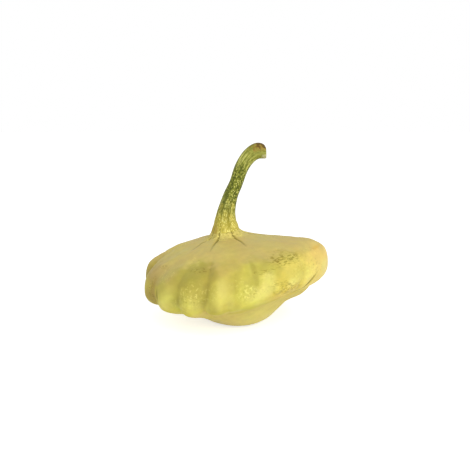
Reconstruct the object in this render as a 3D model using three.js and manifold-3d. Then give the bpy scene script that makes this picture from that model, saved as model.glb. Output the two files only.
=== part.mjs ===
// Pattypan squash: one scalloped fruit and the ribbed stem that it hung from. Millimetres, +Z up.
// The fruit rests on a small flat at the foot of its belly. The origin is the middle of that flat, the
// stem bends towards +X and the side with the deepest groove faces -Y.
import * as THREE from 'three';
import { mergeVertices } from 'three/addons/utils/BufferGeometryUtils.js';
import Module from 'manifold-3d';

const wasm = await Module();
wasm.setup();

// ---- driving dimensions ----
const RIM_HEIGHT = 41.5; // middle of the lobe ring above the resting face
const REST_SHIFT = 2.2; // middle of the resting face, to the +X side of the ring's middle
const TILT = THREE.MathUtils.degToRad(8); // +X end of the ring carried higher than the -X end
const LEAN_SHARE = 0.42; // share of the tilt that moves the outline sideways
const SADDLE = 2.2; // both ends of the ring lifted, front and back lowered
const DOME_RISE = 1.9; // the dome stands higher on the -X side
const NECK_SHIFT = -5.5; // neck to the -X side of the ring's middle
const NECK_RADIUS = 11;
const FLUTE_DEPTH = 0.9; // soft creases around the neck and the foot of the stem
const FLUTE_REACH = 24; // distance from the neck's axis at which the creases have run out
const JOINT_GAP = 0.3; // between the neck and the foot of the stem
const RIB_DEPTH = 0.45; // furrows between the stem's ribs
const STEM_TWIST = 20; // degrees that the ribs turn along the stem
const CUT_HOLLOW = 0.5; // the middle of the cut has dried in by this much

const STEPS_PER_LOBE = 8;
const FRUIT_RINGS = 32;
const STEM_STEPS = 36;
const STEM_RINGS = 34;

// Outline through the middle of a lobe, and outline through a groove: distance from the axis, height from
// the ring's middle. Both start at the neck and end under the belly, and differ only around the rim.
const SHOULDER = [[NECK_RADIUS, 31.6], [13.8, 29.1], [18.7, 26.9], [27, 24.6], [38, 22.3]];
const BELLY = [[40.2, -27.5], [32.2, -32.7], [24.2, -38.1], [13.8, -41.5], [0, -42.6]];
const CREST = [
  ...SHOULDER, [49.2, 19.5], [59.8, 16], [67.5, 10], [70.5, 1.8], [70.5, -7.2], [67, -14.5], [59.4, -19],
  [49.5, -22.8], ...BELLY,
];
const VALLEY = [
  ...SHOULDER, [48.9, 19.2], [58.6, 15], [65.4, 8.9], [68.2, 1], [66, -6.3], [61.4, -12.4], [55.2, -17.1],
  [47.6, -21.9], ...BELLY,
];

// Lobes in order, clockwise from above, starting just past the +X end: width in degrees, reach (times the
// outline), lift, how far the lower edge is drawn up (tuck), depth of the groove before the lobe (times the
// outline's), and how much of that groove is left below the rim (low).
const FIRST_GROOVE = -4;
const GROOVE_POWER = 0.54; // below 1 the lobes are full and the grooves between them narrow
const LOBE_SWEEP = 5; // degrees that the lower edges of the front lobes are swept clockwise
const LOBES = [
  { width: 28.8, reach: 1.023, lift: 2, tuck: 1, groove: 0.25, low: 1 },
  { width: 12.4, reach: 1, lift: 2.8, tuck: 3, groove: 0.1, low: 1 },
  { width: 18.3, reach: 0.985, lift: 3, tuck: 3.4, groove: 0.25, low: 1.4 },
  { width: 14.6, reach: 0.983, lift: 2.5, tuck: 2.6, groove: 0.3, low: 0.1 },
  { width: 11.6, reach: 0.985, lift: 2, tuck: 3, groove: 0.6, low: 0.1 },
  { width: 17.2, reach: 1, lift: 1, tuck: 2.4, groove: 0.5, low: 0.7 },
  { width: 18.4, reach: 1, lift: 0.7, tuck: 0.3, groove: 1.3, low: 0.8 },
  { width: 22.7, reach: 1.012, lift: -0.9, tuck: 2, groove: 0.9, low: 1.15 },
  { width: 29, reach: 1, lift: -3.6, tuck: 3.6, groove: 0.3, low: 2.8 },
  { width: 17, reach: 0.995, lift: 0.8, tuck: 6, groove: 1.7, low: 1 },
  { width: 16, reach: 0.997, lift: -1, tuck: 0, groove: 0.9, low: 1 },
  { width: 19, reach: 1, lift: -1.6, tuck: 0, groove: 0.9, low: 1 },
  { width: 18, reach: 1, lift: -2.5, tuck: 0, groove: 1, low: 1 },
  { width: 21, reach: 1, lift: -3.5, tuck: 0, groove: 0.9, low: 1 },
  { width: 17.5, reach: 1, lift: -6, tuck: 0, groove: 0.9, low: 1 },
  { width: 19.5, reach: 1, lift: -11, tuck: 0, groove: 0.9, low: 1 },
  { width: 20, reach: 1, lift: -14, tuck: 0, groove: 0.8, low: 1 },
  { width: 18.5, reach: 1, lift: -13, tuck: 0, groove: 0.8, low: 1 },
  { width: 20.5, reach: 1.016, lift: -5, tuck: 0.3, groove: 0.4, low: 1 },
];

// Shallow dips of the shoulder above some of the lobes: middle and half width in degrees, depth.
const HOLLOWS = [
  { angle: -116, half: 17, depth: 2.4 },
  { angle: -140, half: 13, depth: 1.6 },
  { angle: -86, half: 12, depth: 1.3 },
  { angle: -60, half: 12, depth: 1.5 },
  { angle: -188, half: 22, depth: 2.6 },
];

// Creases around the neck, in degrees.
const FLUTES = [-62, -114, -150, -207, -262, -312, -363];

// Stem: middle line (x, height from the ring's middle) and radius. The first station is just over the neck.
const STEM = [
  [-6.9, 33.9, 9.9], [-6.9, 38.6, 8.4], [-6, 46.5, 6.8], [-3, 57.5, 5.6], [1.1, 67, 5.15],
  [4.3, 76.5, 5.3], [7.5, 82.8, 5.5], [11.6, 87.9, 5.8], [16.8, 91.2, 6.1], [23.2, 91.6, 6.2],
];

// Cut end of the stem, from its rim inwards: share of the way to the middle, and how far it stands out.
const CUT_FACE = [[0.03, 0.2], [0.12, 0.4], [0.35, 0.2], [0.7, -0.2]];

// ---- helpers ----
const smooth = THREE.MathUtils.smoothstep;
const toRadians = THREE.MathUtils.degToRad;

function outline(stations) {
  return new THREE.SplineCurve(stations.map(([radius, height]) => new THREE.Vector2(radius, height)));
}

function mix(a, b, share) {
  return a + (b - a) * share;
}

// 1 on the ridge between two creases, 0 in a crease, for an angle in degrees.
function fluteRidge(angle) {
  const turned = THREE.MathUtils.euclideanModulo(FLUTES[0] - angle, 360);
  for (let i = 0; i < FLUTES.length; i += 1) {
    const start = FLUTES[0] - FLUTES[i];
    const end = i + 1 < FLUTES.length ? FLUTES[0] - FLUTES[i + 1] : 360;
    if (turned < end) {
      const across = Math.abs((2 * (turned - start)) / (end - start) - 1);
      return (1 - across ** 2) ** 0.7;
    }
  }
  return 0;
}

// Value of a lobe property part of the way across lobe i: its own in the middle, the mean at a groove.
function acrossLobe(key, i, across) {
  const count = LOBES.length;
  const own = LOBES[i][key];
  const before = (LOBES[(i + count - 1) % count][key] + own) / 2;
  const after = (LOBES[(i + 1) % count][key] + own) / 2;
  if (across < 0.5) {
    return mix(before, own, smooth(across, 0, 0.5));
  }
  return mix(own, after, smooth(across, 0.5, 1));
}

// One entry for each step around the fruit.
function stepsAround() {
  const total = LOBES.reduce((sum, lobe) => sum + lobe.width, 0);
  const steps = [];
  let start = FIRST_GROOVE;
  LOBES.forEach((lobe, i) => {
    const width = (lobe.width * 360) / total;
    const next = LOBES[(i + 1) % LOBES.length];
    for (let k = 0; k < STEPS_PER_LOBE; k += 1) {
      const across = k / STEPS_PER_LOBE;
      const onward = smooth(across, 0, 1);
      const hill = (1 - Math.cos(2 * Math.PI * across)) / 2;
      steps.push({
        angle: start - width * across,
        dip: (1 - hill ** GROOVE_POWER) * mix(lobe.groove, next.groove, onward),
        low: mix(lobe.low, next.low, onward),
        reach: acrossLobe('reach', i, across),
        lift: acrossLobe('lift', i, across),
        tuck: acrossLobe('tuck', i, across),
      });
    }
    start -= width;
  });
  return steps;
}

// From the level, upright fruit to where it stands: ring tilted, belly level.
function stand(x, y, z) {
  const slope = Math.sin(TILT);
  const level = smooth(-20 - z, 0, 19);
  return new THREE.Vector3(
    x - z * slope * LEAN_SHARE - REST_SHIFT,
    y,
    x * slope * (1 - level) + z * Math.cos(TILT) + RIM_HEIGHT,
  );
}

// Depth of the shallow dips of the shoulder, for an angle in degrees.
function hollowAt(angle, radius) {
  const ring = smooth(radius, 40, 54) * (1 - smooth(radius, 58, 68));
  return HOLLOWS.reduce((sum, hollow) => {
    const aside = Math.min(Math.abs(angle - hollow.angle) / hollow.half, 1);
    return sum + hollow.depth * (1 - aside ** 2) ** 2 * ring;
  }, 0);
}

// Angle of a step around the fruit, swept along the lower edge of the lobes and most at the front.
function sweptAngle(angle, height) {
  const facing = ((1 - Math.sin(toRadians(angle))) / 2) ** 2;
  return angle - LOBE_SWEEP * facing * smooth(-height, -2, 16);
}

function fruitPoint(step, crest, valley) {
  const dip = step.dip * mix(step.low, 1, smooth(crest.y, -5, 5));
  let radius = mix(crest.x, valley.x, dip);
  let height = mix(crest.y, valley.y, dip);
  const turn = toRadians(sweptAngle(step.angle, crest.y));
  const crease = 1 - fluteRidge(step.angle);
  const top = height > -12;
  if (top) {
    const fade = (1 - smooth(radius, 14, FLUTE_REACH)) * smooth(radius, NECK_RADIUS, NECK_RADIUS + 4);
    height -= FLUTE_DEPTH * crease * fade;
    radius -= 0.6 * FLUTE_DEPTH * crease * (1 - smooth(radius, NECK_RADIUS, NECK_RADIUS + 5));
  }
  const outer = smooth(radius, 12, 64);
  const drawn = step.tuck * (1 - smooth(height, -16, 2)) * smooth(height, -34, -22);
  radius *= 1 + (step.reach - 1) * outer;
  height += (step.lift + SADDLE * Math.cos(2 * turn)) * outer + drawn;
  if (top) {
    height -= hollowAt(step.angle, radius);
    const dome = smooth(radius, 12, 26) * (1 - smooth(radius, 56, 68));
    height += (DOME_RISE * dome * (1 - Math.cos(turn))) / 2;
  }
  const shift = top ? NECK_SHIFT * (1 - THREE.MathUtils.clamp((radius - 10) / 50, 0, 1)) : 0;
  return stand(radius * Math.cos(turn) + shift, radius * Math.sin(turn), height);
}

// Closed body from rings of points, with one more point in the middle of each end.
function ringsToGeometry(rings, firstMiddle, lastMiddle) {
  const around = rings[0].length;
  const points = [...rings.flat(), firstMiddle, lastMiddle];
  const first = points.length - 2;
  const last = points.length - 1;
  const lastRing = (rings.length - 1) * around;
  const faces = [];
  for (let k = 0; k < around; k += 1) {
    const next = (k + 1) % around;
    faces.push(first, next, k);
    faces.push(last, lastRing + k, lastRing + next);
    for (let r = 0; r + 1 < rings.length; r += 1) {
      const a = r * around + k;
      const b = r * around + next;
      faces.push(a, b, a + around);
      faces.push(b, b + around, a + around);
    }
  }
  const geometry = new THREE.BufferGeometry().setFromPoints(points);
  geometry.setIndex(faces);
  return geometry;
}

function toManifold(geometry) {
  const bare = geometry.clone();
  bare.deleteAttribute('normal');
  bare.deleteAttribute('uv');
  const welded = mergeVertices(bare, 1e-5);
  return new wasm.Manifold(new wasm.Mesh({
    numProp: 3,
    vertProperties: new Float32Array(welded.attributes.position.array),
    triVerts: new Uint32Array(welded.index.array),
  }));
}

function fromManifold(body) {
  const mesh = body.getMesh();
  const geometry = new THREE.BufferGeometry();
  geometry.setAttribute('position', new THREE.BufferAttribute(new Float32Array(mesh.vertProperties), 3));
  geometry.setIndex(new THREE.BufferAttribute(new Uint32Array(mesh.triVerts), 1));
  geometry.computeVertexNormals();
  return geometry;
}

// ---- fruit ----
function fruitRings() {
  const crest = outline(CREST);
  const valley = outline(VALLEY);
  const around = stepsAround();
  const rings = [];
  for (let r = 0; r < FRUIT_RINGS; r += 1) {
    const along = r / FRUIT_RINGS;
    const onCrest = crest.getPoint(along);
    const onValley = valley.getPoint(along);
    rings.push(around.map((step) => fruitPoint(step, onCrest, onValley)));
  }
  return rings;
}

// The belly's tip is taken off level, which leaves the flat that the fruit rests on.
function fruitGeometry() {
  const [, neckHeight] = CREST[0];
  const [, tipHeight] = CREST[CREST.length - 1];
  const whole = ringsToGeometry(fruitRings(), stand(NECK_SHIFT, 0, neckHeight), stand(0, 0, tipHeight));
  const ground = new THREE.BoxGeometry(200, 200, 40).translate(0, 0, -20);
  return fromManifold(toManifold(whole).subtract(toManifold(ground)));
}

function skinMaterial() {
  return new THREE.MeshStandardMaterial({
    name: 'squash_skin', color: 0xd6c75f, roughness: 0.48, metalness: 0,
  });
}

// ---- stem ----
function stemRings() {
  const neck = stand(NECK_SHIFT, 0, CREST[0][1]);
  const across = new THREE.Vector3(Math.cos(TILT), 0, Math.sin(TILT));
  const up = new THREE.Vector3(-Math.sin(TILT), 0, Math.cos(TILT));
  const foot = neck.clone().addScaledVector(up, JOINT_GAP);
  const middles = [foot, ...STEM.map(([x, z]) => new THREE.Vector3(x - REST_SHIFT, 0, z + RIM_HEIGHT))];
  const radii = [NECK_RADIUS, ...STEM.map((station) => station[2])];
  const line = new THREE.SplineCurve(middles.map((point) => new THREE.Vector2(point.x, point.z)));
  const width = new THREE.SplineCurve(radii.map((radius, i) => new THREE.Vector2(i, radius)));
  const length = line.getLength();
  const rings = [];
  for (let r = 0; r < STEM_RINGS; r += 1) {
    // Rings lie closer together towards the cut, where the corner is round.
    const left = (1 - r / (STEM_RINGS - 1)) ** 1.3;
    const along = line.getUtoTmapping(1 - left);
    const run = line.getTangent(along);
    if (r > 0) {
      across.set(run.y, 0, -run.x);
    }
    rings.push(stemRing(line.getPoint(along), across, width.getPoint(along).y, along, left * length));
  }
  return { rings, foot, run: line.getTangent(1) };
}

// How far the skin has shrunk in near the cut: round over the outer corner, sharp on the inner one.
function driedIn(outer, left) {
  const closing = 1 - Math.min(left / (1 + 6 * outer), 1);
  return (0.3 + 4 * outer ** 1.5) * (1 - Math.sqrt(1 - 0.98 * closing ** 2));
}

function stemRing(middle, across, radius, along, left) {
  const ribs = mix(0.6 * FLUTE_DEPTH, RIB_DEPTH, smooth(along, 0, 0.35));
  const ring = [];
  for (let k = 0; k < STEM_STEPS; k += 1) {
    const angle = -(k * 360) / STEM_STEPS;
    const turn = toRadians(angle);
    const crease = 1 - fluteRidge(angle + STEM_TWIST * along);
    const reach = radius - ribs * crease - driedIn((1 - Math.cos(turn)) / 2, left);
    ring.push(new THREE.Vector3(
      middle.x + across.x * reach * Math.cos(turn),
      reach * Math.sin(turn),
      middle.y + across.z * reach * Math.cos(turn),
    ));
  }
  return ring;
}

function stemGeometry() {
  const { rings, foot, run } = stemRings();
  const outward = new THREE.Vector3(run.x, 0, run.y);
  const rim = rings[rings.length - 1];
  const middle = rim.reduce((sum, point) => sum.add(point), new THREE.Vector3()).divideScalar(rim.length);
  CUT_FACE.forEach(([inset, out]) => {
    rings.push(rim.map((point) => point.clone().lerp(middle, inset).addScaledVector(outward, out)));
  });
  const cutMiddle = middle.clone().addScaledVector(outward, -CUT_HOLLOW);
  const geometry = ringsToGeometry(rings.reverse(), cutMiddle, foot);
  geometry.computeVertexNormals();
  return geometry;
}

function stemMaterial() {
  return new THREE.MeshStandardMaterial({
    name: 'squash_stem', color: 0x979b4a, roughness: 0.7, metalness: 0,
  });
}

// ---- the part ----
function namedMesh(name, geometry, material) {
  const mesh = new THREE.Mesh(geometry, material);
  mesh.name = name;
  return mesh;
}

const squash = new THREE.Group();
squash.name = 'pattypan_squash';
squash.add(namedMesh('fruit', fruitGeometry(), skinMaterial()));
squash.add(namedMesh('stem', stemGeometry(), stemMaterial()));

export default squash;
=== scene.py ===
"""Pattypan squash: one scalloped fruit and the ribbed stem that it hung from.

Laid out as an add-on: sizes and colours are properties, each piece is an operator, and main() runs them.
Shapes are worked out in millimetres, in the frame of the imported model, and turned to metres at the end.
"""
import math

import bpy
import numpy as np
from bpy.props import FloatProperty, FloatVectorProperty, IntProperty, PointerProperty
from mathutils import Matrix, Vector


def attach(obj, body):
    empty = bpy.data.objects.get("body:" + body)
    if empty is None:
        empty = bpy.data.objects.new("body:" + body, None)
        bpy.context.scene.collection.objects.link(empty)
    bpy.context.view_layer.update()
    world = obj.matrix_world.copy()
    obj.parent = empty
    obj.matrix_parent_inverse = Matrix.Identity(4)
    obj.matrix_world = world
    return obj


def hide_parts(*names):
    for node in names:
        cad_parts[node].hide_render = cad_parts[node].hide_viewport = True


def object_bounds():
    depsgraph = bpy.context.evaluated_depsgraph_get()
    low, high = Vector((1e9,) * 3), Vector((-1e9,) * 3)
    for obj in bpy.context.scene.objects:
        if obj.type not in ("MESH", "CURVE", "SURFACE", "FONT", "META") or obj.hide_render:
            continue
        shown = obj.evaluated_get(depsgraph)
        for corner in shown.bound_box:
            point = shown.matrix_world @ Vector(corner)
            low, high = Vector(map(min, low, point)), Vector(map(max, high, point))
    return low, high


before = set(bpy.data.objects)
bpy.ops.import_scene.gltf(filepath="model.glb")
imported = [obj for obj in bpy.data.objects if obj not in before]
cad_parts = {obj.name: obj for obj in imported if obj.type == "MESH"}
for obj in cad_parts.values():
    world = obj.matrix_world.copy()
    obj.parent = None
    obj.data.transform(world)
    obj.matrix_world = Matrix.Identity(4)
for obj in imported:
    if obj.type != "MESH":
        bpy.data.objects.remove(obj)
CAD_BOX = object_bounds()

bl_info = {
    "name": "Pattypan squash",
    "version": (1, 0, 0),
    "blender": (4, 5, 0),
    "location": "View3D > Sidebar > Squash",
    "description": "Builds a scalloped summer squash with its stem, and a plain studio around it",
    "category": "Add Mesh",
}

MM = 0.001

# ---- the shape, in millimetres -------------------------------------------------------------------------
# The fruit is drawn upright around its own axis, with heights from the middle of its ring of lobes.
# Then the ring is tilted, and the belly is stood level on its small flat.
RIM_HEIGHT = 41.5  # middle of the ring above the floor
REST_SHIFT = 2.2  # how far the middle of the ring lies to -X of the flat's middle
TILT = math.radians(8)
LEAN_SHARE = 0.42  # share of the tilt by which the axis leans too
SADDLE = 2.2  # rise of the ring at its two X ends, and fall at its two Y ends
DOME_RISE = 1.9  # extra height of the dome towards -X
NECK_SHIFT = -5.5  # place of the neck along X
NECK_RADIUS = 11.0
FLUTE_DEPTH = 0.9  # furrows between the ridges of the neck
CREASE_DEPTH = 0.75  # thin line along the bottom of a furrow
CREASE_WIDTH = 0.7
CREASE_REACH = 36.0  # radius at which a crease has run out
MEETING_SHARE = 0.6  # share of the furrows that is cut into the side where neck and stem meet
RIDGE_POWER = 0.7  # lower makes the ridges between the furrows broader
STEM_TWIST = 20.0  # turn of the ribs from the foot to the cut, in degrees
LOBE_SWEEP = 5.0  # turn of the front lobes' lower edges, in degrees, clockwise from above
DIMPLE_DEPTH = 0.6  # hollow of the blossom end, in the middle of the flat
DIMPLE_RADIUS = 8.0
FLAT_BAND = 2.0  # height above the floor below which the skin belongs to the flat

# Outlines through the middle of a lobe and through a groove: distance from the axis, height from the ring.
CREST = [
    (NECK_RADIUS, 31.6), (13.8, 29.1), (18.7, 26.9), (27, 24.6), (38, 22.3), (49.2, 19.5), (59.8, 16),
    (67.5, 10), (70.5, 1.8), (70.5, -7.2), (67, -14.5), (59.4, -19), (49.5, -22.8), (40.2, -27.5),
    (32.2, -32.7), (24.2, -38.1), (13.8, -41.5), (0, -42.6),
]
VALLEY = CREST[:5] + [
    (48.9, 19.2), (58.6, 15), (65.4, 8.9), (68.2, 1), (66, -6.3), (61.4, -12.4), (55.2, -17.1),
    (47.6, -21.9),
] + CREST[13:]
WIDEST = max(radius for radius, _ in CREST)

# Pairs of radii, or of heights from the ring, between which each part of the shape comes in or goes out.
TOP_HEIGHT = -12  # above this the skin is dome or shoulder
SHIFT_OUT = (10, 60)
FLUTES_OUT = (14, 24)
CREASES_IN = (NECK_RADIUS, NECK_RADIUS + 4)
CREASES_OUT = (NECK_RADIUS + 3, CREASE_REACH)
MEETING_OUT = (NECK_RADIUS, NECK_RADIUS + 5)
OUTER_IN = (12, 64)
DOME_IN, DOME_OUT = (12, 26), (56, 68)
HOLLOW_IN, HOLLOW_OUT = (40, 54), (58, 68)
TUCK_IN, TUCK_OUT = (-34, -22), (-16, 2)
GROOVE_WHOLE = (-5, 5)
SWEEP_IN = (-2, 16)  # depths below the ring, as in the next line
LEVEL_IN = (20, 39)

# Lobes, clockwise from above: width in degrees, reach, lift, how far the lower edge is drawn up, depth of
# the groove before the lobe, and how much of that groove is left below the rim.
WIDTH, REACH, LIFT, TUCK, DEPTH, LOW = range(6)
FIRST_GROOVE = -4.0
LOBES = np.array([
    (28.8, 1.023, 2, 1, 0.25, 1), (12.4, 1, 2.8, 3, 0.1, 1), (18.3, 0.985, 3, 3.4, 0.25, 1.4),
    (14.6, 0.983, 2.5, 2.6, 0.3, 0.1), (11.6, 0.985, 2, 3, 0.6, 0.1), (17.2, 1, 1, 2.4, 0.5, 0.7),
    (18.4, 1, 0.7, 0.3, 1.3, 0.8), (22.7, 1.012, -0.9, 2, 0.9, 1.15), (29, 1, -3.6, 3.6, 0.3, 2.8),
    (17, 0.995, 0.8, 6, 1.7, 1), (16, 0.997, -1, 0, 0.9, 1), (19, 1, -1.6, 0, 0.9, 1),
    (18, 1, -2.5, 0, 1, 1), (21, 1, -3.5, 0, 0.9, 1), (17.5, 1, -6, 0, 0.9, 1), (19.5, 1, -11, 0, 0.9, 1),
    (20, 1, -14, 0, 0.8, 1), (18.5, 1, -13, 0, 0.8, 1), (20.5, 1.016, -5, 0.3, 0.4, 1),
])
# Shallow dips of the shoulder: angle, half width in degrees, depth.
HOLLOWS = ((-116, 17, 2.4), (-140, 13, 1.6), (-86, 12, 1.3), (-60, 12, 1.5), (-188, 22, 2.6))
# Small lumps low on the lobes: angle, height from the ring, radius, rise; and how soft their rims are.
WARTS = (
    (-64.5, -3.5, 3.2, 0.8), (-58, -5, 2.6, 0.7), (-51, -6.5, 3, 0.6), (-60, 0.5, 2.4, 0.4),
    (-45, -4, 2.6, 0.5),
)
WART_SOFTNESS = 0.8
# Crease under the lobes of the +X side, whose line is also painted shade: angle, height, half its length in
# degrees, half its width, how soft its edges are, its depth, and how far it climbs in a degree.
FOLD = (-40.2, -6.9, 5.6, 1.0, 0.6, 1.0, 0.93)
# Creases around the neck, and how far each turns by the end of its run, in degrees.
FLUTES = np.array([-62.0, -114, -150, -207, -262, -312, -363])
FLUTE_BENDS = (-7, 1.5, 8, 3, -4, 5, -3)

# Stem: middle line (x, height from the ring's middle) and radius.
STEM = [
    (-6.9, 33.9, 9.9), (-6.9, 38.6, 8.4), (-6, 46.5, 6.8), (-3, 57.5, 5.6), (1.1, 67, 5.15),
    (4.3, 76.5, 5.3), (7.5, 82.8, 5.5), (11.6, 87.9, 5.8), (16.8, 91.2, 6.1), (23.2, 91.6, 6.2),
]
# Shares of the stem's length over which it leaves the neck's own direction, and over which the neck's
# furrows turn into its ribs.
TURN_IN = (0, 0.2)
RIBS_IN = (0, 0.35)
# The rim of the cut is dried round: how far back that starts, and how far it draws in, each as the least of
# it and what is added on the outer side of the bend.
ROUNDING = (1, 6)
DRAWN_IN = (0.3, 4)
# Cut end of the stem, from its rim inwards: share of the way to the middle, and how far it stands out.
CUT_FACE = (
    (0.03, 0.2), (0.08, 0.34), (0.15, 0.4), (0.28, 0.3), (0.42, 0.12), (0.56, 0.02), (0.7, -0.15),
    (0.85, -0.4),
)
CUT_HOLLOW = 0.5

# ---- the marks of the skin, in millimetres and degrees -------------------------------------------------
# Unevenness: strength, wavelength and seed of each set of waves that are added up.
SWELLING = ((0.6, 30, 3), (0.3, 14, 4), (0.08, 5, 5))
BORDER_WANDER = ((3, 24, 11), (1.5, 9, 12))
NECK_WANDER = ((2, 4, 13),)
RAGGED_RIM = ((0.15, 6, 21),)
SCUFFING = ((1, 20, 14),)
STALK_WANDER = ((0.04, 5, 31),)
CORNER_WANDER = ((2, 3, 32),)
CORNER_BLOTCHES = ((0.15, 3.5, 34),)
VESSEL_WANDER = ((0.4, 1.2, 33),)

# Ovals of each colour on the skin: strength, angle, height from the ring, half width in degrees, half
# height, and how soft the rim is where that isn't RIM_SOFTNESS. They lie outside the radius SPOTS_FROM.
RIM_SOFTNESS = 0.35
SPOTS_FROM = 16
SPOTS = {
    # The crest and crown ovals are painted highlights on the lobes.
    "crest": (
        (0.5, -47, 1, 5, 5, 0.7), (0.6, -24, 3, 11, 12, 0.6), (0.3, -98, -6, 7, 8), (0.15, -113, -8, 8, 7),
        (0.5, -134, -9, 9, 6)),
    "crown": (
        (0.7, -76.8, -3.5, 7, 6, 0.6), (0.6, -96.5, 4, 3.8, 8, 0.7), (0.4, -93, -5, 2.6, 8, 0.7),
        (0.5, -131.5, -2, 6, 9, 0.7), (0.55, -111.5, -6, 6, 8, 0.7), (0.4, -77, 14, 3, 8, 0.6),
        (0.9, -54.5, -1.5, 3.5, 3, 0.6)),
    "dome": ((1, -150, 14, 20, 8, 0.3), (1, -120, 18, 14, 6, 0.4)),
    "dome_gap": ((0.3, -93, 16.5, 12, 5.5, 0.8),),
    "flush": (
        (0.9, -115.5, 12, 17, 7.2, 0.25), (0.55, -117, 4, 12, 8, 0.6), (0.5, -94, 13, 9, 6, 0.7),
        (0.45, -101.5, 5, 3, 9, 0.8), (0.7, -80.5, 7, 5.5, 7.5, 0.6), (0.5, -82.5, 0, 5, 6, 0.7),
        (0.55, -90, 9, 9, 9, 0.7), (0.4, -53, 15, 14, 4, 0.5), (0.8, -71, 13.5, 11, 4.5, 0.6),
        (0.7, -63, 11, 5, 5, 0.6), (0.38, -55, 5.5, 12, 5.5, 0.6), (0.15, -69, 3, 5, 8, 0.5),
        (0.5, -138, 4, 9, 6, 0.6), (0.8, -186, 6, 10, 9, 0.6)),
    # Painted shade in the grooves.
    "valley": (
        (0.7, -109.5, 4, 4.5, 9, 0.8), (0.6, -103.5, -9, 3.5, 6, 0.7), (0.35, -89.5, -6, 2.4, 6, 0.7),
        (0.3, -122.5, -9, 4, 7, 0.7), (0.6, -115, 11, 14.5, 8, 0.4), (0.6, -77.2, 9, 2, 8, 0.4)),
    "under": ((0.5, -153, -2, 14, 13, 0.6),),
    "belly": ((0.5, -69, 3, 5, 8, 0.5),),
    "tan": (
        (0.55, -168, 8, 26, 10, 0.6), (0.4, -138, 10, 12, 8, 0.6), (0.8, -158, -5, 9, 9, 0.7),
        (0.85, -149, 1, 3.5, 9, 0.5), (0.14, -70.5, 5, 4, 7, 0.7), (0.1, -44, 11.5, 15, 6.5, 0.8)),
    # Painted shade along a groove of the -X end.
    "crease": ((0.8, -142.8, -2, 1.2, 4.5, 0.7),),
    "cork": (
        (0.85, -55, 15.2, 10.5, 3.6, 0.5), (0.8, -113, 15.5, 8, 1.2), (0.6, -151, 16.5, 4, 1),
        (0.7, -72, 11, 8, 1.2), (0.4, -63, 1, 6, 2.6), (0.5, -58, -4, 6, 4), (0.8, -151.5, 1, 3, 8)),
    "amber": (
        (0.6, -25, 15.6, 5.5, 1, 0.6), (0.45, -58, -7, 9, 5, 0.8), (0.35, -62, 1, 4, 8, 0.7),
        (0.15, -44, 11.5, 15, 6.5, 0.8)),
    "freckle": (
        (0.55, -116, 0, 7, 8, 0.6), (0.6, -82, -1, 6, 6, 0.6), (0.6, -58, -5, 10, 5, 0.7),
        (0.45, -38, 3, 10, 7, 0.7)),
}
# Rims of painted shade around the three largest lumps: angle, height, half width in degrees, half height.
BRIM_SHADES = ((-64.5, -3, 3.6, 4.4), (-58, -4.5, 3, 3.8), (-51, -6.5, 3.4, 3.8))
BRIM_INSIDE = 0.7  # share of a rim's size that its clear middle takes
# Dark seams along the stem: angle, half width, and the shares of its length between which it is whole.
SEAMS = ((-71, 1.3, 0.05, 0.28), (-117, 1.7, 0.22, 0.4))
SEAM_RADIUS = 7  # radius of the stem at which the half widths hold
SEAM_FADE = (0.08, 0.13)  # shares over which a seam comes in and goes out


def smooth(value, low, high):
    """0 below low, 1 above high, an even S between."""
    share = np.clip((value - low) / (high - low), 0, 1)
    return share * share * (3 - 2 * share)


def band(value, rising, falling):
    """1 inside a band of values, 0 outside: it comes in over one pair and goes out over the other."""
    return smooth(value, *rising) * (1 - smooth(value, *falling))


def bell(value, middle, width):
    """1 at the middle, and down to a third a width away."""
    return np.exp(-((value - middle) / width) ** 2)


def curve(stations, at):
    """Points on the smooth curve through evenly numbered stations, for at between 0 and 1."""
    points = np.asarray(stations, float)
    last = len(points) - 1
    place = np.clip(np.asarray(at, float), 0, 1) * last
    index = np.minimum(place.astype(int), last - 1)
    w = (place - index)[..., None]
    before = points[np.maximum(index - 1, 0)]
    start = points[index]
    end = points[index + 1]
    after = points[np.minimum(index + 2, last)]
    leave = (end - before) / 2
    arrive = (after - start) / 2
    return (
        (2 * start - 2 * end + leave + arrive) * w ** 3
        + (-3 * start + 3 * end - 2 * leave - arrive) * w ** 2
        + leave * w
        + start
    )


def even_steps(stations, count):
    """Values of at that space count + 1 points evenly along the curve."""
    at = np.linspace(0, 1, 2000)
    points = curve(stations, at)
    run = np.concatenate([[0], np.cumsum(np.linalg.norm(np.diff(points, axis=0), axis=1))])
    return np.interp(np.linspace(0, run[-1], count + 1), run, at)


def crease_line(angle, radius):
    """1 along the thin line at the bottom of each crease of the neck, 0 away from it."""
    bend = np.clip((radius - NECK_RADIUS) / (CREASE_REACH - NECK_RADIUS), 0, 1)
    away = np.min([np.abs(np.mod(angle - flute - turned * bend + 180, 360) - 180)
                   for flute, turned in zip(FLUTES, FLUTE_BENDS)], axis=0)
    return bell(np.radians(away) * radius, 0, CREASE_WIDTH)


def flute_ridge(angle):
    """1 on the ridge between two creases of the neck, 0 in a crease."""
    turned = np.mod(FLUTES[0] - angle, 360)
    edges = np.append(FLUTES[0] - FLUTES, 360)
    index = np.clip(np.searchsorted(edges, turned, side="right") - 1, 0, len(FLUTES) - 1)
    across = 2 * (turned - edges[index]) / (edges[index + 1] - edges[index]) - 1
    return (1 - np.clip(across ** 2, 0, 1)) ** RIDGE_POWER


def neck_furrow(crease, line):
    """Depth of the furrows where the fruit's neck and the stem's foot meet."""
    return MEETING_SHARE * (FLUTE_DEPTH * crease + CREASE_DEPTH * line)


def oval(angle, height, at_angle, at_height, half_angle, half_height, softness=RIM_SOFTNESS):
    """1 inside an oval around one place on the skin, 0 outside, with a rim that soft."""
    aside = (np.mod(angle - at_angle + 180, 360) - 180) / half_angle
    away = np.hypot(aside, (height - at_height) / half_height)
    return 1 - smooth(away, 1 - softness, 1 + softness)


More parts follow.
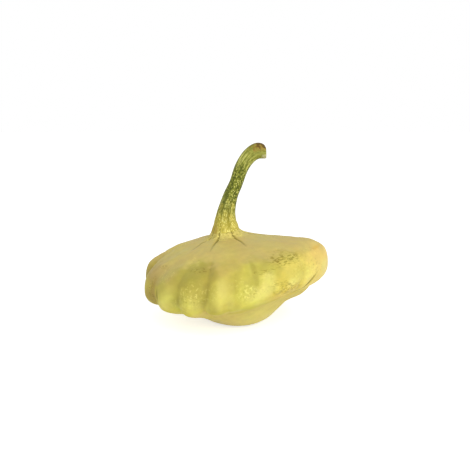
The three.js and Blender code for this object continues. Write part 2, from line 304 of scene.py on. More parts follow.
def ripple(points, wavelength, seed, waves=18):
    """Smooth random swell between about -1 and 1 over points, the same each run."""
    draw = np.random.default_rng(seed)
    total = np.zeros(points.shape[:-1])
    for _ in range(waves):
        way = draw.normal(size=3)
        way *= 2 * math.pi / (wavelength * draw.uniform(0.75, 1.35) * np.linalg.norm(way))
        total += np.sin(points @ way + draw.uniform(0, 2 * math.pi))
    return total / math.sqrt(waves)


def ripples(points, table):
    """Sum of the random swells of a table of strengths, wavelengths and seeds."""
    return sum(strength * ripple(points, wavelength, seed) for strength, wavelength, seed in table)


def surface_normals(points):
    """Outward normals of a grid of points that closes on itself along its first axis."""
    around = np.roll(points, -1, 0) - np.roll(points, 1, 0)
    along = np.gradient(points, axis=1)
    normal = np.cross(around, along)
    return normal / np.maximum(np.linalg.norm(normal, axis=-1, keepdims=True), 1e-9)


def stand(x, y, z):
    """From the level, upright fruit to where it stands: ring tilted, belly level."""
    slope = math.sin(TILT)
    level = smooth(-z, *LEVEL_IN)
    return np.stack([
        x - z * slope * LEAN_SHARE - REST_SHIFT,
        y + 0 * x,
        x * slope * (1 - level) + z * math.cos(TILT) + RIM_HEIGHT,
    ], -1)


def neck_middle():
    """Middle of the circle in which the fruit's neck and the stem's foot meet."""
    return stand(NECK_SHIFT, 0, CREST[0][1])


def lobe_steps(per_lobe, groove_power):
    """Angle, bulge, groove depth, what is left of it below, reach, lift and tuck for each step around."""
    widths = LOBES[:, WIDTH] * 360 / LOBES[:, WIDTH].sum()
    across = np.arange(per_lobe) / per_lobe
    starts = FIRST_GROOVE - np.concatenate([[0], np.cumsum(widths)[:-1]])
    angle = (starts[:, None] - widths[:, None] * across).ravel()
    hill = (1 + np.cos(math.pi * (2 * across - 1))) / 2
    bulge = np.tile(hill ** groove_power, len(LOBES))
    further = np.roll(LOBES, -1, 0) - LOBES
    passed = smooth(across, 0, 1)
    depth, low = ((LOBES[:, [key]] + further[:, [key]] * passed).ravel() for key in (DEPTH, LOW))
    rise = smooth(across, 0, 0.5)
    fall = smooth(across, 0.5, 1)
    own = []
    for key in (REACH, LIFT, TUCK):
        value = LOBES[:, [key]]
        first = (np.roll(value, 1, 0) + value) / 2
        last = (value + np.roll(value, -1, 0)) / 2
        own.append(np.where(
            across < 0.5, first + (value - first) * rise, value + (last - value) * fall).ravel())
    return angle, bulge, depth, low, *own


def fruit_grid(per_lobe, rings, groove_power):
    """Points of the skin, lobe steps by rings from neck to belly tip, and what the finish needs."""
    at = even_steps(CREST, rings)[:-1]
    crest = curve(CREST, at)
    deeper = curve(VALLEY, at) - crest
    steps = lobe_steps(per_lobe, groove_power)
    angle, bulge, depth, low, reach, lift, tuck = (value[:, None] for value in steps)
    share = (1 - bulge) * depth * (low + (1 - low) * smooth(crest[:, 1], *GROOVE_WHOLE))
    radius = crest[:, 0] + deeper[:, 0] * share
    height = crest[:, 1] + deeper[:, 1] * share
    top = height > TOP_HEIGHT
    # The neck's furrows, and the crease at the bottom of each.
    furrow = 1 - flute_ridge(angle)
    line = crease_line(angle, radius)
    run_out = (1 - smooth(radius, *CREASES_OUT)) * top
    sunk = FLUTE_DEPTH * furrow * (1 - smooth(radius, *FLUTES_OUT)) + CREASE_DEPTH * line
    height = height - sunk * run_out * smooth(radius, *CREASES_IN)
    radius = radius - neck_furrow(furrow, line) * (1 - smooth(radius, *MEETING_OUT)) * top
    # The lower edges of the lobes are swept around a little, clockwise from above and most at the front.
    facing = ((1 - np.sin(np.radians(angle))) / 2) ** 2
    angle = angle - LOBE_SWEEP * facing * smooth(-crest[:, 1], *SWEEP_IN)
    turn = np.radians(angle)
    # Each lobe's own reach, lift and drawn-up lower edge, and the saddle of the whole ring.
    outer = smooth(radius, *OUTER_IN)
    radius = radius * (1 + (reach - 1) * outer)
    drawn = tuck * band(height, TUCK_IN, TUCK_OUT)
    height = height + (lift + SADDLE * np.cos(2 * turn)) * outer + drawn
    hollow = 0
    for at_angle, half_angle, dip in HOLLOWS:
        away = np.clip(np.abs(angle - at_angle) / half_angle, 0, 1)
        hollow = hollow + dip * (1 - away ** 2) ** 2 * band(radius, HOLLOW_IN, HOLLOW_OUT) * top
    height = height - hollow
    height = height + DOME_RISE * (1 - np.cos(turn)) / 2 * band(radius, DOME_IN, DOME_OUT) * top
    at_angle, at_height, half_angle, half_height, softness, fold_depth, climb = FOLD
    level = height - climb * (angle - at_angle)
    fold = oval(angle, level, at_angle, at_height, half_angle, half_height, softness)
    radius = radius - fold_depth * fold
    for at_angle, at_height, half, rise in WARTS:
        half_angle = math.degrees(half / WIDEST)
        radius = radius + rise * oval(angle, height, at_angle, at_height, half_angle, half, WART_SOFTNESS)
    near, far = SHIFT_OUT
    shift = np.where(top, NECK_SHIFT * (1 - np.clip((radius - near) / (far - near), 0, 1)), 0)
    points = stand(radius * np.cos(turn) + shift, radius * np.sin(turn), height)
    # The painted shade of a crease stays strong almost to its end.
    dark = line * run_out ** 0.3
    told = {"radius": radius, "height": height, "angle": angle, "bulge": bulge, "share": share,
            "line": dark, "fold": fold, "at": at}
    return points, {key: value + 0 * radius for key, value in told.items()}


def closed_mesh(name, grid, first_middle, last_middle, masks):
    """Mesh from a closed grid with a fan at each end; masks become point attributes."""
    around, along = grid.shape[:2]
    points = np.concatenate([grid.reshape(-1, 3), [first_middle, last_middle]]) * MM
    index = np.arange(around * along).reshape(around, along)
    beside = np.roll(index, -1, 0)
    quads = np.stack([index[:, :-1], beside[:, :-1], beside[:, 1:], index[:, 1:]], -1).reshape(-1, 4)
    first = np.full(around, around * along)
    last = first + 1
    fans = np.concatenate([
        np.stack([first, beside[:, 0], index[:, 0]], -1),
        np.stack([last, index[:, -1], beside[:, -1]], -1),
    ])
    mesh = bpy.data.meshes.new(name)
    mesh.from_pydata(points.tolist(), [], quads.tolist() + fans.tolist())
    mesh.validate()
    for key, mask in masks.items():
        middles = [mask[:, end].mean(0).ravel() for end in (0, -1)]
        values = np.concatenate([mask.reshape(around * along, -1), middles])
        kind, field = ("FLOAT_VECTOR", "vector") if mask.ndim == 3 else ("FLOAT", "value")
        mesh.attributes.new(key, kind, "POINT").data.foreach_set(field, values.ravel().astype(np.float32))
    mesh.shade_smooth()
    piece = bpy.data.objects.new(name, mesh)
    bpy.context.collection.objects.link(piece)
    return piece


def linear(hex_colour):
    """sRGB hex to linear RGB."""
    parts = [int(hex_colour[i:i + 2], 16) / 255 for i in (1, 3, 5)]
    return tuple(c / 12.92 if c <= 0.04045 else ((c + 0.055) / 1.055) ** 2.4 for c in parts)


def per_mm(size):
    """Texture scale at which one feature is size millimetres, in object coordinates."""
    return 1 / (size * MM)


def add(tree, kind, inputs=(), **settings):
    """Add a shader node with its settings; inputs maps sockets to values or to other nodes' outputs."""
    made = tree.nodes.new("ShaderNode" + kind)
    for key, value in settings.items():
        setattr(made, key, value)
    for key, value in dict(inputs).items():
        socket = made.inputs[key]
        if isinstance(value, bpy.types.NodeSocket):
            tree.links.new(value, socket)
        elif socket.type == "RGBA":
            socket.default_value = (*value, 1)
        else:
            socket.default_value = value
    return made


def new_material(name):
    """Empty node material and its output node."""
    material = bpy.data.materials.new(name)
    material.use_nodes = True
    nodes = material.node_tree.nodes
    nodes.clear()
    return material, material.node_tree, nodes.new("ShaderNodeOutputMaterial")


def seen_directly(tree):
    """1 where a surface is seen by the camera or in something shiny, 0 where it only gives light."""
    light = add(tree, "LightPath")
    seen = light.outputs["Is Camera Ray"]
    for ray in ("Is Glossy Ray", "Is Transmission Ray"):
        seen = add(tree, "Math", {0: seen, 1: light.outputs[ray]}, operation="MAXIMUM").outputs[0]
    return seen


# ---- properties ----------------------------------------------------------------------------------------
def colour_property(name, description, hex_colour):
    """Colour property whose default is an sRGB hex value."""
    return FloatVectorProperty(
        name=name, description=description, default=linear(hex_colour),
        subtype="COLOR", size=3, min=0, max=1)


class PATTYPAN_PG_fruit(bpy.types.PropertyGroup):
    """Sizes and colours of the fruit."""

    groove_power: FloatProperty(
        name="Groove softness", description="Higher makes the grooves between lobes rounder",
        default=0.54, min=0.5, max=1)
    swell: FloatProperty(
        name="Swell", description="Height of the uneven swelling of the skin",
        default=0.7 * MM, unit="LENGTH", min=0)
    steps: IntProperty(
        name="Steps per lobe", description="Mesh steps across a lobe", default=26, min=6, max=40)
    rings: IntProperty(
        name="Rings", description="Mesh rings from neck to belly", default=190, min=30, max=300)
    lobe: colour_property("Lobes", "Yellow of the lobes, still a little green", "#dcd15d")
    # Painted light: a warmer, lighter yellow on the +X side, towards the key lamp.
    ripe: colour_property("Ripe side", "Warmer yellow of the side that faced the sun", "#edd473")
    # Painted highlight: the paler yellow where a lobe swells most towards the lamps.
    crown: colour_property("Crowns", "Paler skin where a lobe swells most", "#ece284")
    dome: colour_property("Dome", "Dull tan-yellow of the dome", "#cebb6b")
    flush: colour_property("Flush", "Green left in the skin of the shoulder", "#b4a84a")
    # Painted shade: the deeper, darker colour down in the grooves.
    valley: colour_property("Grooves", "Deeper colour down in the grooves", "#a99b42")
    belly: colour_property("Belly", "Paler skin of the belly", "#e7d781")
    # Brownish skin, mostly at the -X end.
    tan: colour_property("Tan", "Brownish skin of the weathered end", "#a88f4e")
    neck: colour_property("Neck", "Yellow where the skin runs up into the stem", "#dccd6e")
    # Painted shade: thin dark lines in the neck's creases and in the fold, and rims around lumps.
    crease: colour_property("Creases", "Thin dark lines around the neck and in folds", "#7d7028")
    cork: colour_property("Cork", "Rough healed skin", "#978632")
    amber: colour_property("Amber spots", "Small spots where the skin was scraped", "#d8b03a")
    pale: colour_property("Pale freckles", "Freckles lighter than the skin", "#f1e680")
    dark: colour_property("Dark freckles", "Freckles darker than the skin", "#a99c40")


class PATTYPAN_PG_stem(bpy.types.PropertyGroup):
    """Sizes and colours of the stem."""

    rib_depth: FloatProperty(
        name="Rib depth", description="Depth of the furrows between the stem's ribs",
        default=0.45 * MM, unit="LENGTH", min=0)
    steps: IntProperty(
        name="Steps around", description="Mesh steps around the stem", default=192, min=24, max=400)
    rings: IntProperty(
        name="Rings", description="Mesh rings along the stem", default=340, min=30, max=480)
    green: colour_property("Green", "Green of the stem", "#787e20")
    pale: colour_property("Fibres", "Pale fibres and bristle bases", "#cdcb6e")
    # Painted shade down in the furrows, and the dark between the bristles.
    dark: colour_property("Furrows", "Dark green down in the furrows and between the bristles", "#4c540a")
    # Painted shade down in the furrows of the foot, and the dark between its bristles.
    groove: colour_property("Foot furrow", "Olive down in the furrows of the foot", "#a2962c")
    foot: colour_property("Foot", "Yellow where the stem meets the fruit", "#cbbc52")
    glow: colour_property("Foot specks", "Bright specks of the foot", "#fbf190")
    tan: colour_property("Foot ridge", "Tan ridge at the foot", "#b59d48")
    olive: colour_property("Ageing green", "Yellower green towards the cut", "#8e9036")
    dry: colour_property("Drying skin", "Tan of the skin that dries behind the cut", "#98772a")
    scorch: colour_property("Brown corner", "Dark brown where the cut's corner dried hardest", "#564010")
    lip: colour_property("Pale lip", "Pale dry skin along the lower lip of the cut", "#cdc79a")
    pith: colour_property("Pith", "Pale dry pith on the cut face", "#bcae7c")
    ring: colour_property("Vessel ring", "Darker ring of vessels in the cut face", "#7d7038")


class PATTYPAN_PG_stage(bpy.types.PropertyGroup):
    """Camera and lights."""

    distance: FloatProperty(
        name="Camera distance", description="From the aim point", default=0.502, unit="LENGTH")
    elevation: FloatProperty(
        name="Camera elevation", description="Above level", default=math.radians(11), subtype="ANGLE")
    aim: FloatProperty(
        name="Aim height", description="Share of the squash's height", default=0.4928, min=0, max=1)
    aside: FloatProperty(
        name="Aim aside", description="How far left of the squash's middle the camera aims",
        default=0.67 * MM, unit="LENGTH")
    lens: FloatProperty(
        name="Focal length", description="Millimetres on a 36 mm sensor", default=50, unit="CAMERA")
    key: FloatProperty(
        name="Key power", description="Large soft lamp at the front right", default=9.6, unit="POWER")
    fill: FloatProperty(
        name="Fill power", description="Large soft lamp at the front left", default=2.5, unit="POWER")
    sky: FloatProperty(name="Sky", description="Even light from all sides", default=0.57, min=0)


# ---- materials -----------------------------------------------------------------------------------------
# Sockets of a Mix node that mixes colours, which share their names: the share of the colour above, the two
# colours, and the result.
SHARE, BELOW, ABOVE, MIXED = 0, 6, 7, 2
# Colours of the rind from the bottom up, and the most that each covers.
# Among these are painted light on the +X side, a painted highlight on the lobes' crowns, and painted shade
# in the grooves and creases.
RIND_LAYERS = (
    ("ripe", 1), ("crown", 0.75), ("belly", 0.9), ("dome", 0.95), ("flush", 0.9), ("valley", 0.9),
    ("tan", 0.85), ("neck", 0.8), ("crease", 0.85), ("amber", 0.8),
)
# Freckles of the rind: colour, and the values of the noise between which they come in.
FRECKLES = (("pale", 0.57, 0.66), ("dark", 0.42, 0.33))
# Masks of the stalk that come as they are, and the dry colours that lie over the green, from the bottom up.
STALK_MASKS = ("olive", "streak", "furrow", "foot", "speck", "gap")
STALK_DRY = ("tan", "dry", "pith", "ring", "lip", "scorch")


def rind_material(sizes):
    """Rind: smooth grown skin under a thin bloom of wax, so it is soft in gloss; dull tan on the dome,
    yellow with some green on the lobes, freckled in patches, and corky where it healed. Painted highlights
    pale the crowns of the lobes, painted shade darkens the grooves and creases, and the +X side is painted
    lighter."""
    material, tree, output = new_material("waxy_rind")
    spot = add(tree, "TexCoord").outputs["Object"]
    colour = sizes.lobe
    for key, amount in RIND_LAYERS:
        mask = add(tree, "Attribute", attribute_name=key).outputs["Fac"]
        share = add(tree, "Math", {0: mask, 1: amount}, operation="MULTIPLY").outputs[0]
        over = {SHARE: share, BELOW: colour, ABOVE: getattr(sizes, key)}
        colour = add(tree, "Mix", over, data_type="RGBA").outputs[MIXED]
    # Freckles under 1 mm, pale and dark, only where the skin is freckled.
    freckled = add(tree, "Attribute", attribute_name="freckle").outputs["Fac"]
    fleck = add(tree, "TexNoise", {"Vector": spot, "Scale": per_mm(1.7), "Detail": 1.5, "Roughness": 0.6})
    for key, low, high in FRECKLES:
        dot = add(tree, "MapRange", {
            "Value": fleck.outputs["Fac"], "From Min": low, "From Max": high}).outputs[0]
        share = add(tree, "Math", {0: dot, 1: freckled}, operation="MULTIPLY").outputs[0]
        over = {SHARE: share, BELOW: colour, ABOVE: getattr(sizes, key)}
        colour = add(tree, "Mix", over, data_type="RGBA").outputs[MIXED]
    # Cork: strokes 0.8 mm high and 2.5 mm long.
    flat = add(tree, "Mapping", {"Vector": spot, "Scale": (0.42, 0.42, 1.3)}).outputs[0]
    scribble = add(tree, "TexNoise", {
        "Vector": flat, "Scale": per_mm(1.05), "Detail": 1.5, "Distortion": 0.4})
    corky = add(tree, "MapRange", {
        "Value": scribble.outputs["Fac"], "From Min": 0.52, "From Max": 0.57}).outputs[0]
    cork = add(tree, "Attribute", attribute_name="cork").outputs["Fac"]
    healed = add(tree, "Math", {0: corky, 1: cork}, operation="MULTIPLY").outputs[0]
    over = {SHARE: healed, BELOW: colour, ABOVE: sizes.cork}
    colour = add(tree, "Mix", over, data_type="RGBA").outputs[MIXED]
    # Mottling at 5 mm and broad drift of hue at 26 mm.
    blotch = add(tree, "TexNoise", {"Vector": spot, "Scale": per_mm(26), "Detail": 3.0, "Roughness": 0.55})
    mottle = add(tree, "TexNoise", {"Vector": spot, "Scale": per_mm(5), "Detail": 4.0, "Roughness": 0.6})
    value, hue = (
        add(tree, "MapRange", {
            "Value": noise.outputs["Fac"], "From Min": 0.3, "From Max": 0.7,
            "To Min": low, "To Max": high}).outputs[0]
        for noise, low, high in ((mottle, 0.93, 1.05), (blotch, 0.488, 0.512)))
    toned = add(tree, "HueSaturation", {"Color": colour, "Value": value, "Hue": hue})
    # Pores at 1.3 mm; cork lies lower by a quarter of their depth.
    pores = add(tree, "TexNoise", {"Vector": spot, "Scale": per_mm(1.3), "Detail": 2.0}).outputs["Fac"]
    height = add(tree, "Math", {0: healed, 1: -0.25, 2: pores}, operation="MULTIPLY_ADD").outputs[0]
    bump = add(tree, "Bump", {"Height": height, "Distance": 0.06 * MM, "Strength": 0.6})
    # Under the lobes the skin is duller.
    waxy = add(tree, "MapRange", {"Value": mottle.outputs["Fac"], "To Min": 0.4, "To Max": 0.6}).outputs[0]
    under = add(tree, "Attribute", attribute_name="under").outputs["Fac"]
    roughness = add(tree, "Math", {0: under, 1: 0.5, 2: waxy}, operation="MULTIPLY_ADD").outputs[0]
    skin = add(tree, "BsdfPrincipled", {
        "Base Color": toned.outputs[0], "Roughness": roughness, "Normal": bump.outputs[0], "IOR": 1.4,
        "Specular IOR Level": 0.22, "Subsurface Weight": 0.05, "Subsurface Radius": (1.0, 0.7, 0.25),
        "Subsurface Scale": 3 * MM})
    tree.links.new(skin.outputs[0], output.inputs[0])
    return material


def stalk_material(sizes):
    """Stalk: hard green fibre that grew in ribs, set all over with bristle bases, so it looks speckled and
    matt; yellow and speckled at the foot, brown and dry at the cut, with painted shade in its furrows."""
    material, tree, output = new_material("ribbed_stalk")
    masks = {key: add(tree, "Attribute", attribute_name=key).outputs["Fac"]
             for key in STALK_MASKS + STALK_DRY}
    straight = add(tree, "Attribute", attribute_name="straight").outputs["Vector"]
    # Fibres 1.25 mm wide and 11 mm long.
    along = add(tree, "Mapping", {"Vector": straight, "Scale": (1, 1, 0.11)}).outputs[0]
    fibre = add(tree, "TexNoise", {"Vector": along, "Scale": per_mm(1.25), "Detail": 2.0})
    fibres = add(tree, "MapRange", {
        "Value": fibre.outputs["Fac"], "From Min": 0.46, "From Max": 0.58}).outputs[0]
    # Bristle bases: pale 0.8 mm specks, and dark gaps of 1.2 mm between them, both half as long again along
    # the stem.
    coarse = add(tree, "Mapping", {"Vector": straight, "Scale": (1, 1, 0.65)}).outputs[0]
    base = add(tree, "TexVoronoi", {"Vector": coarse, "Scale": per_mm(1.05)})
    bristles = add(tree, "MapRange", {
        "Value": base.outputs["Distance"], "From Min": 0.45, "From Max": 0.28, "To Max": 0.95}).outputs[0]
    between = add(tree, "TexNoise", {"Vector": coarse, "Scale": per_mm(1.2), "Detail": 1.0})
    gaps = add(tree, "MapRange", {
        "Value": between.outputs["Fac"], "From Min": 0.51, "From Max": 0.58}).outputs[0]
    streak, speck, gap = (
        add(tree, "Math", {0: marks, 1: masks[key]}, operation="MULTIPLY").outputs[0]
        for marks, key in ((fibres, "streak"), (bristles, "speck"), (gaps, "gap")))
    # Deep colours (painted shade of the furrows, dark between bristles) and pale ones turn yellower at the
    # foot.
    deep, pale = (
        add(tree, "Mix", {
            SHARE: masks["foot"], BELOW: green, ABOVE: yellow}, data_type="RGBA").outputs[MIXED]
        for green, yellow in ((sizes.dark, sizes.groove), (sizes.pale, sizes.glow)))
    layers = [(masks["olive"], sizes.olive), (streak, sizes.pale), (masks["foot"], sizes.foot),
              (masks["furrow"], deep), (speck, pale), (gap, deep)]
    layers += [(masks[key], getattr(sizes, key)) for key in STALK_DRY]
    colour = sizes.green
    for share, above in layers:
        over = {SHARE: share, BELOW: colour, ABOVE: above}
        colour = add(tree, "Mix", over, data_type="RGBA").outputs[MIXED]
    height = add(tree, "Math", {0: speck, 1: gap}, operation="SUBTRACT").outputs[0]
    bump = add(tree, "Bump", {"Height": height, "Distance": 0.15 * MM, "Strength": 0.5})
    stalk = add(tree, "BsdfPrincipled", {
        "Base Color": colour, "Roughness": 0.62, "Normal": bump.outputs[0], "IOR": 1.45,
        "Specular IOR Level": 0.3})
    tree.links.new(stalk.outputs[0], output.inputs[0])
    return material


def paper_material():
    """Studio paper: matte white, lit to white for the camera except where the object shades it."""
    material, tree, output = new_material("studio_paper")
    paper = add(tree, "BsdfDiffuse", {"Color": (0.86, 0.86, 0.86)})
    lift = add(tree, "Emission", {"Color": (1, 1, 1), "Strength": 0.62})
    both = add(tree, "AddShader", {0: paper.outputs[0], 1: lift.outputs[0]})
    shown = add(tree, "MixShader", {0: seen_directly(tree), 1: paper.outputs[0], 2: both.outputs[0]})
    tree.links.new(shown.outputs[0], output.inputs[0])
    return material


# ---- pieces --------------------------------------------------------------------------------------------
class PATTYPAN_OT_fruit(bpy.types.Operator):
    """Build the scalloped fruit"""

    bl_idname = "pattypan.fruit"
    bl_label = "Build fruit"

    def execute(self, context):
        sizes = context.scene.pattypan_fruit
        grid, told = fruit_grid(sizes.steps, sizes.rings, sizes.groove_power)
        # Uneven swelling, except at the neck and the foot, which meet the stem and the floor.
        fade = smooth(told["at"], 0, 0.06) * smooth(grid[..., 2], 0, 6)
        swell = np.clip(ripples(grid, SWELLING), -1, 1)
        depth = sizes.swell / MM * (0.5 + 0.5 * swell) * fade
        grid = grid - surface_normals(grid) * depth[..., None]
        foot = np.hypot(grid[..., 0], grid[..., 1])
        dimple = DIMPLE_DEPTH * np.clip(1 - (foot / DIMPLE_RADIUS) ** 2, 0, 1) ** 2
        grid[..., 2] = np.maximum(grid[..., 2], dimple * (grid[..., 2] < FLAT_BAND))
        masks = self.finish_masks(grid, told)
        tip = stand(0, 0, CREST[-1][1])
        tip[2] = DIMPLE_DEPTH
        piece = closed_mesh("fruit_skin", grid, neck_middle(), tip, masks)
        piece.data.materials.append(rind_material(sizes))
        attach(piece, "root")
        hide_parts("fruit")
        return {"FINISHED"}

    def finish_masks(self, grid, told):
        """Where each colour and each mark of the skin lies."""
        radius, height, angle, bulge = told["radius"], told["height"], told["angle"], told["bulge"]
        foot = np.hypot(grid[..., 0], grid[..., 1])
        level = height + ripples(grid, BORDER_WANDER)
        ragged = ripples(grid, RAGGED_RIM)

        def spots(key):
            """Strongest of one colour's ovals, with uneven rims."""
            return np.maximum.reduce([
                strength * oval(angle, height + ragged * place[3], *place) * (radius > SPOTS_FROM)
                for strength, *place in SPOTS[key]])

        # Each crest is lightened between its foot and its top as a painted highlight; each groove is
        # darkened below the shoulder as painted shade.
        crest = smooth(bulge, 0.3, 0.85) * band(height, (-17, -9), (2, 8))
        groove = told["share"] * smooth(radius, 46, 60) * band(height, (-15, -3), (6, 14))
        neck = 1 - smooth(radius + ripples(grid, NECK_WANDER), NECK_RADIUS + 1, NECK_RADIUS + 8)
        # Painted shade on the neck's -X side, away from the key lamp; it is carried in the crease colour.
        shaded = neck * (1 - smooth(np.abs(angle + 180), 45, 75))
        blossom_end = np.clip(1 - foot / 6, 0, 1) * (grid[..., 2] < 3)
        scuffs = smooth(ripples(grid, SCUFFING), 0.3, 0.9)
        brim_shades = [oval(angle, height, *place)
                 * (1 - oval(angle, height, *place[:2], BRIM_INSIDE * place[2], BRIM_INSIDE * place[3]))
                 for place in BRIM_SHADES]
        return {
            # Painted light: the +X side, towards the key lamp, is made warmer and lighter.
            "ripe": smooth(np.cos(np.radians(angle + 6)), 0.3, 0.95),
            # Painted highlight on the crowns of the lobes.
            "crown": np.maximum(crest * np.clip(0.06 + spots("crest"), 0, 1), spots("crown")),
            "belly": np.maximum(1 - smooth(level, -20, -13), spots("belly")),
            "dome": np.maximum(smooth(level, 9, 18) * (1 - spots("dome_gap")), spots("dome")),
            "flush": spots("flush"),
            # Painted shade down in the grooves.
            "valley": np.maximum(groove, spots("valley")),
            "tan": spots("tan"),
            "neck": neck,
            # Painted shade: crease lines, the fold, rims around lumps and the neck's -X side.
            "crease": np.maximum.reduce([
                told["line"], told["fold"], spots("crease"), 0.36 * shaded,
                *(0.38 * brim for brim in brim_shades)]),
            "amber": spots("amber"),
            "freckle": np.clip(np.maximum.reduce([spots("freckle"), 0.2 * scuffs, 0.9 * neck]), 0, 1),
            "cork": np.maximum(spots("cork"), blossom_end),
            "under": np.maximum(band(-height, (10, 16), (25, 33)), spots("under")),
        }


def stem_grid(steps, rings, rib_depth):
    """Points of the stem, steps by rings from its foot to the rim of the cut, the same points with the stem
    straightened, the way out of the cut, and what the finish needs to know."""
    neck = neck_middle()
    middles = [(neck[0], neck[2], NECK_RADIUS)]
    middles += [(x - REST_SHIFT, z + RIM_HEIGHT, radius) for x, z, radius in STEM]
    at = even_steps(middles, rings)
    line = curve(middles, at)
    run = np.gradient(line[:, :2], axis=0)
    run /= np.linalg.norm(run, axis=1)[:, None]
    start = np.array([-math.sin(TILT), math.cos(TILT)])
    settle = smooth(at, *TURN_IN)[:, None]
    run = start * (1 - settle) + run * settle
    run /= np.linalg.norm(run, axis=1)[:, None]
    walked = np.concatenate([[0], np.cumsum(np.linalg.norm(np.diff(line[:, :2], axis=0), axis=1))])
    left = walked[-1] - walked
    angle = -np.arange(steps)[:, None] * 360 / steps
    turn = np.radians(angle)
    turned = angle + STEM_TWIST * at
    ridge = flute_ridge(turned)
    crease = crease_line(turned, line[:, 2])
    rising = smooth(at, *RIBS_IN)
    ribs = neck_furrow(1 - ridge, crease) * (1 - rising) + rib_depth * (1 - ridge) * rising
    # The outer corner of the cut is dried round, the inner one stays sharp.
    outer = (1 - np.cos(turn)) / 2
    corner = ROUNDING[0] + ROUNDING[1] * outer
    closing = 1 - np.clip(left / corner, 0, 1)
    dried = (DRAWN_IN[0] + DRAWN_IN[1] * outer ** 1.5) * (1 - np.sqrt(1 - closing ** 2 * 0.98))
    reach = line[:, 2] - ribs - dried
    points = np.stack([
        line[:, 0] + run[:, 1] * reach * np.cos(turn),
        reach * np.sin(turn),
        line[:, 1] - run[:, 0] * reach * np.cos(turn),
    ], -1)
    straight = np.stack([reach * np.cos(turn), reach * np.sin(turn), walked + 0 * reach], -1)
    outward = np.array([run[-1, 0], 0, run[-1, 1]])
    told = {"at": at, "left": left, "outer": outer, "ridge": ridge, "crease": crease, "turned": turned}
    return points, straight, outward, {key: value + 0 * reach for key, value in told.items()}


class PATTYPAN_OT_stem(bpy.types.Operator):
    """Build the ribbed stem with its dried cut end"""

    bl_idname = "pattypan.stem"
    bl_label = "Build stem"

    def execute(self, context):
        sizes = context.scene.pattypan_stem
        grid, straight, outward, told = stem_grid(sizes.steps, sizes.rings, sizes.rib_depth / MM)
        rim = grid[:, -1]
        middle = rim.mean(0)
        cut = [rim + (middle - rim) * inset + outward * out for inset, out in CUT_FACE]
        grid = np.concatenate([grid, np.stack(cut, 1)], 1)
        # The cut face takes what was told of its rim.
        beyond = [(0, 0), (0, len(cut))]
        told = {key: np.pad(value, beyond, mode="edge") for key, value in told.items()}
        straight = np.pad(straight, beyond + [(0, 0)], mode="edge")
        across = np.zeros_like(told["at"])
        across[:, -len(cut):] = [inset for inset, _ in CUT_FACE]
        masks = self.finish_masks(grid, told, across)
        masks["straight"] = straight * MM
        piece = closed_mesh("stem_stalk", grid, neck_middle(), middle - outward * CUT_HOLLOW, masks)
        piece.data.materials.append(stalk_material(sizes))
        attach(piece, "root")
        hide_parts("stem")
        return {"FINISHED"}

    def finish_masks(self, grid, told, across):
        """Where each colour of the stalk lies. Along the stem at is 0 at the foot and 1 at the cut, and
        left is the length still to go; outer is 1 on the outer side of the bend; across is 0 on the side
        and 1 in the middle of the cut."""
        at, left, outer = told["at"], told["left"], told["outer"]
        crease, turned = told["crease"], told["turned"]
        side = across == 0
        uneven = ripples(grid, STALK_WANDER)
        foot = 1 - smooth(at + uneven, 0.15, 0.4)
        # Pale fibres show behind the cut and, less, above the foot.
        streaks_high = smooth(at, 0.52, 0.7) * (1 - 0.75 * smooth(at, 0.75, 0.85))
        streaks_low = band(at, (0.12, 0.2), (0.32, 0.46))
        # Furrows are darkened with painted shade along the lower half, with two seams, and the foot's front
        # left side gets painted shade.
        lower = 1 - 0.6 * smooth(at, 0.42, 0.6)
        between_ribs = 1 - smooth(told["ridge"], 0, 0.6)
        seam = np.maximum.reduce([
            bell(np.radians(turned - middle) * SEAM_RADIUS, 0, half)
            * band(at, (low, low + SEAM_FADE[0]), (high, high + SEAM_FADE[1]))
            for middle, half, low, high in SEAMS])
        shade = bell(turned, -132, 15) * band(at, (-0.01, 0.02), (0.2, 0.3))
        # The outer side is tan at the foot. Bristles are few there and towards the cut.
        back = smooth(outer, 0.7, 0.85)
        few = 0.8 * smooth(at, 0.5, 0.7)
        # The corner is dry for about 8 mm from the cut: brown along its top and its rim, tan between.
        fade = left + ripples(grid, CORNER_WANDER)
        blotchy = outer + ripples(grid, CORNER_BLOTCHES)
        brown = np.maximum(smooth(blotchy, 0.8, 0.95) * (1 - smooth(fade, 6, 9)),
                           smooth(blotchy, 0.58, 0.74) * (1 - smooth(fade, 4, 6.5)))
        rim = bell(across, 0.06, 0.06) * ~side
        vessels = bell(across, 0.45, 0.1) * (0.6 + ripples(grid, VESSEL_WANDER)) * ~side
        inner = 1 - smooth(outer, 0.15, 0.35)
        return {
            "olive": smooth(at, 0.62, 0.88),
            "streak": np.maximum(0.9 * streaks_high, 0.8 * streaks_low),
            # Painted shade in the furrows and on the foot's front left side, with the two seams.
            "furrow": np.maximum.reduce([
                0.6 * between_ribs * lower, 0.8 * crease * lower, 0.9 * seam, 0.65 * shade]),
            "foot": foot,
            "speck": (1 - few) * (1 - 0.7 * back * foot) * (1 - seam) * side,
            "gap": (1 - 0.7 * smooth(at, 0.6, 0.74)) * (0.55 + 0.45 * smooth(at, 0.22, 0.4)) * side,
            "tan": 0.75 * (1 - smooth(at + uneven, 0.1, 0.2)) * back * (1 - crease) * side,
            "dry": 0.8 * smooth(outer, 0.4, 0.7) * (1 - smooth(fade, 6, 10)) * side,
            "scorch": np.maximum(0.85 * brown * side, 0.8 * rim * smooth(outer, 0.3, 0.7)),
            "lip": 0.7 * inner * np.maximum((1 - smooth(left, 1.5, 4)) * side, rim),
            "pith": smooth(across, 0.05, 0.2),
            "ring": 0.7 * np.clip(vessels, 0, 1),
        }


# ---- stage ---------------------------------------------------------------------------------------------
FLOOR_HALF = 4.0  # metres
# Square soft lamps: name, azimuth from the front and to the right, elevation, distance and size in metres.
LAMPS = (("key", 25, 24, 1.3, 0.9), ("fill", -50, 30, 1.4, 1.2))


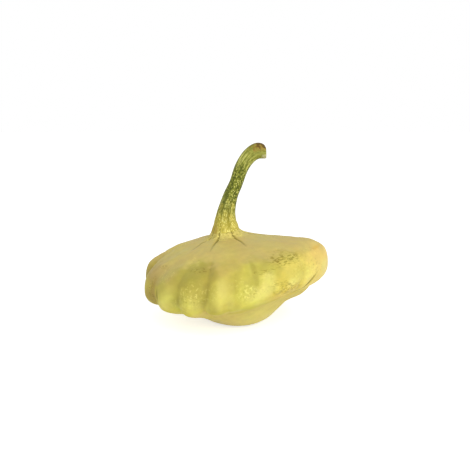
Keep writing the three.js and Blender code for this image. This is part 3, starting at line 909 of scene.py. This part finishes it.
class PATTYPAN_OT_stage(bpy.types.Operator):
    """Add the white floor, the soft lamps, the sky and the camera"""

    bl_idname = "pattypan.stage"
    bl_label = "Add stage"

    def execute(self, context):
        sizes = context.scene.pattypan_stage
        scene = context.scene
        low, high = (Vector(corner) for corner in CAD_BOX)
        centre = (low + high) / 2
        mesh = bpy.data.meshes.new("floor")
        corners = [(x * FLOOR_HALF, y * FLOOR_HALF, 0) for x, y in ((-1, -1), (1, -1), (1, 1), (-1, 1))]
        mesh.from_pydata(corners, [], [(0, 1, 2, 3)])
        floor = bpy.data.objects.new("floor", mesh)
        mesh.materials.append(paper_material())
        scene.collection.objects.link(floor)
        floor.location.z = low.z
        self.add_sky(scene, sizes.sky)
        aim = Vector((centre.x - sizes.aside, centre.y, low.z + (high.z - low.z) * sizes.aim))
        for name, *place in LAMPS:
            self.add_lamp(scene, name, aim, *place, getattr(sizes, name))
        data = bpy.data.cameras.new("camera")
        data.lens = sizes.lens
        camera = bpy.data.objects.new("camera", data)
        scene.collection.objects.link(camera)
        back = Vector((0, -math.cos(sizes.elevation), math.sin(sizes.elevation)))
        camera.location = aim + back * sizes.distance
        camera.rotation_euler = (math.pi / 2 - sizes.elevation, 0, 0)
        scene.camera = camera
        scene.view_settings.view_transform = "Standard"
        return {"FINISHED"}

    def add_sky(self, scene, strength):
        """Even light from all sides, and plain white where it is seen directly."""
        world = bpy.data.worlds.new("sky")
        world.use_nodes = True
        tree = world.node_tree
        tree.nodes.clear()
        even = add(tree, "Background", {"Color": (1, 1, 1), "Strength": strength})
        white = add(tree, "Background", {"Color": (1, 1, 1), "Strength": 1.0})
        shown = add(tree, "MixShader", {0: seen_directly(tree), 1: even.outputs[0], 2: white.outputs[0]})
        output = tree.nodes.new("ShaderNodeOutputWorld")
        tree.links.new(shown.outputs[0], output.inputs[0])
        scene.world = world

    def add_lamp(self, scene, name, aim, azimuth, elevation, distance, size, power):
        """Square soft lamp that faces the aim point; azimuth 0 is at the front, positive to the right."""
        data = bpy.data.lights.new(name, "AREA")
        data.size = size
        data.energy = power
        lamp = bpy.data.objects.new(name, data)
        scene.collection.objects.link(lamp)
        a, e = math.radians(azimuth), math.radians(elevation)
        way = Vector((math.sin(a) * math.cos(e), -math.cos(a) * math.cos(e), math.sin(e)))
        lamp.location = aim + way * distance
        lamp.rotation_euler = way.to_track_quat("Z", "Y").to_euler()


class PATTYPAN_PT_panel(bpy.types.Panel):
    """Sizes, colours and buttons"""

    bl_idname = "PATTYPAN_PT_panel"
    bl_label = "Pattypan squash"
    bl_space_type = "VIEW_3D"
    bl_region_type = "UI"
    bl_category = "Squash"

    def draw(self, context):
        for name in ("fruit", "stem", "stage"):
            box = self.layout.box()
            sizes = getattr(context.scene, "pattypan_" + name)
            for key in sizes.__annotations__:
                box.prop(sizes, key)
            box.operator("pattypan." + name)


CLASSES = (
    PATTYPAN_PG_fruit, PATTYPAN_PG_stem, PATTYPAN_PG_stage,
    PATTYPAN_OT_fruit, PATTYPAN_OT_stem, PATTYPAN_OT_stage, PATTYPAN_PT_panel,
)
GROUPS = {
    "pattypan_fruit": PATTYPAN_PG_fruit,
    "pattypan_stem": PATTYPAN_PG_stem,
    "pattypan_stage": PATTYPAN_PG_stage,
}


def register():
    """Add the classes and their sizes to Blender."""
    for each in CLASSES:
        bpy.utils.register_class(each)
    for name, group in GROUPS.items():
        setattr(bpy.types.Scene, name, PointerProperty(type=group))


def unregister():
    """Take away what register adds."""
    for name in GROUPS:
        delattr(bpy.types.Scene, name)
    for each in reversed(CLASSES):
        bpy.utils.unregister_class(each)


def main():
    """Build the squash and its stage."""
    register()
    bpy.ops.pattypan.fruit()
    bpy.ops.pattypan.stem()
    bpy.ops.pattypan.stage()


if __name__ == "__main__":
    main()
